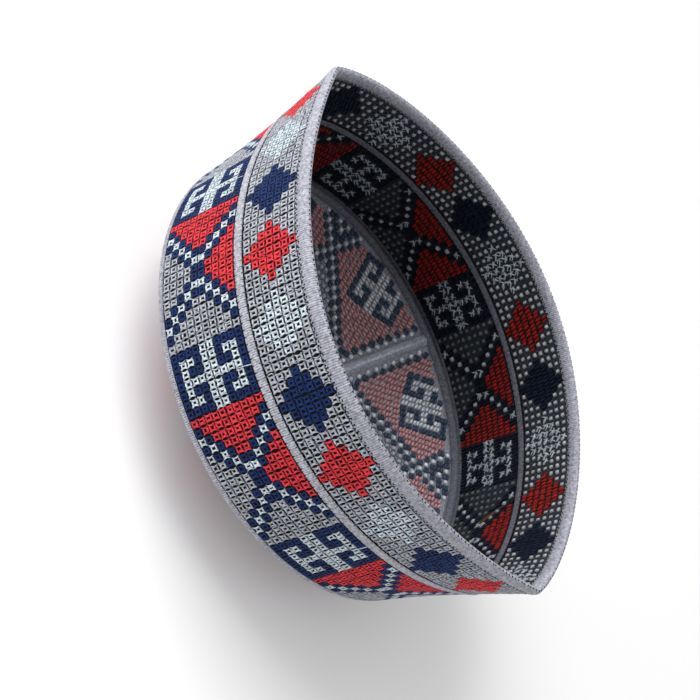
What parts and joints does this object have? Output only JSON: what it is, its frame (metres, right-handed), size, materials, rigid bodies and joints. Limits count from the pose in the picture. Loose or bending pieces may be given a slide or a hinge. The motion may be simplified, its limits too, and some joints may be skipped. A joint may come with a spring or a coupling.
{
  "type": "kufi",
  "caption": "Round brimless kufi of cross-stitched cloth, resting open on its flattened domed crown, with a patterned wall, a raised welt and satin-stitched edgings.",
  "frame": {"origin": "middle of the crown's flattened top, on the surface that the cap rests on", "axes": "+Z from the crown to the rim; Y runs between the rim's two pinched ends; +X towards the wall that stands almost upright"},
  "size_m": [0.1875, 0.212, 0.0991],
  "materials": {
    "crown_cloth": "matte cross-stitch in red, navy, white and grey",
    "upper_cloth": "matte cross-stitch in red, navy, white and grey",
    "lower_cloth": "matte cross-stitch in grey, red, navy and white",
    "satin_edging": "satin-stitched, soft sheen",
    "satin_welt": "satin-stitched, soft sheen"
  },
  "bodies": {
    "root": {"crown_panel_near_right": "crown_cloth", "crown_panel_far_right": "crown_cloth", "crown_panel_far_left": "crown_cloth", "crown_panel_near_left": "crown_cloth", "crown_seam_across": "satin_edging", "crown_seam_right": "satin_edging", "crown_seam_left": "satin_edging", "crown_edging": "satin_edging", "upper_band": "upper_cloth", "welt": "satin_welt", "lower_band": "lower_cloth", "rim_edging": "satin_edging"}
  },
  "joints": []
}
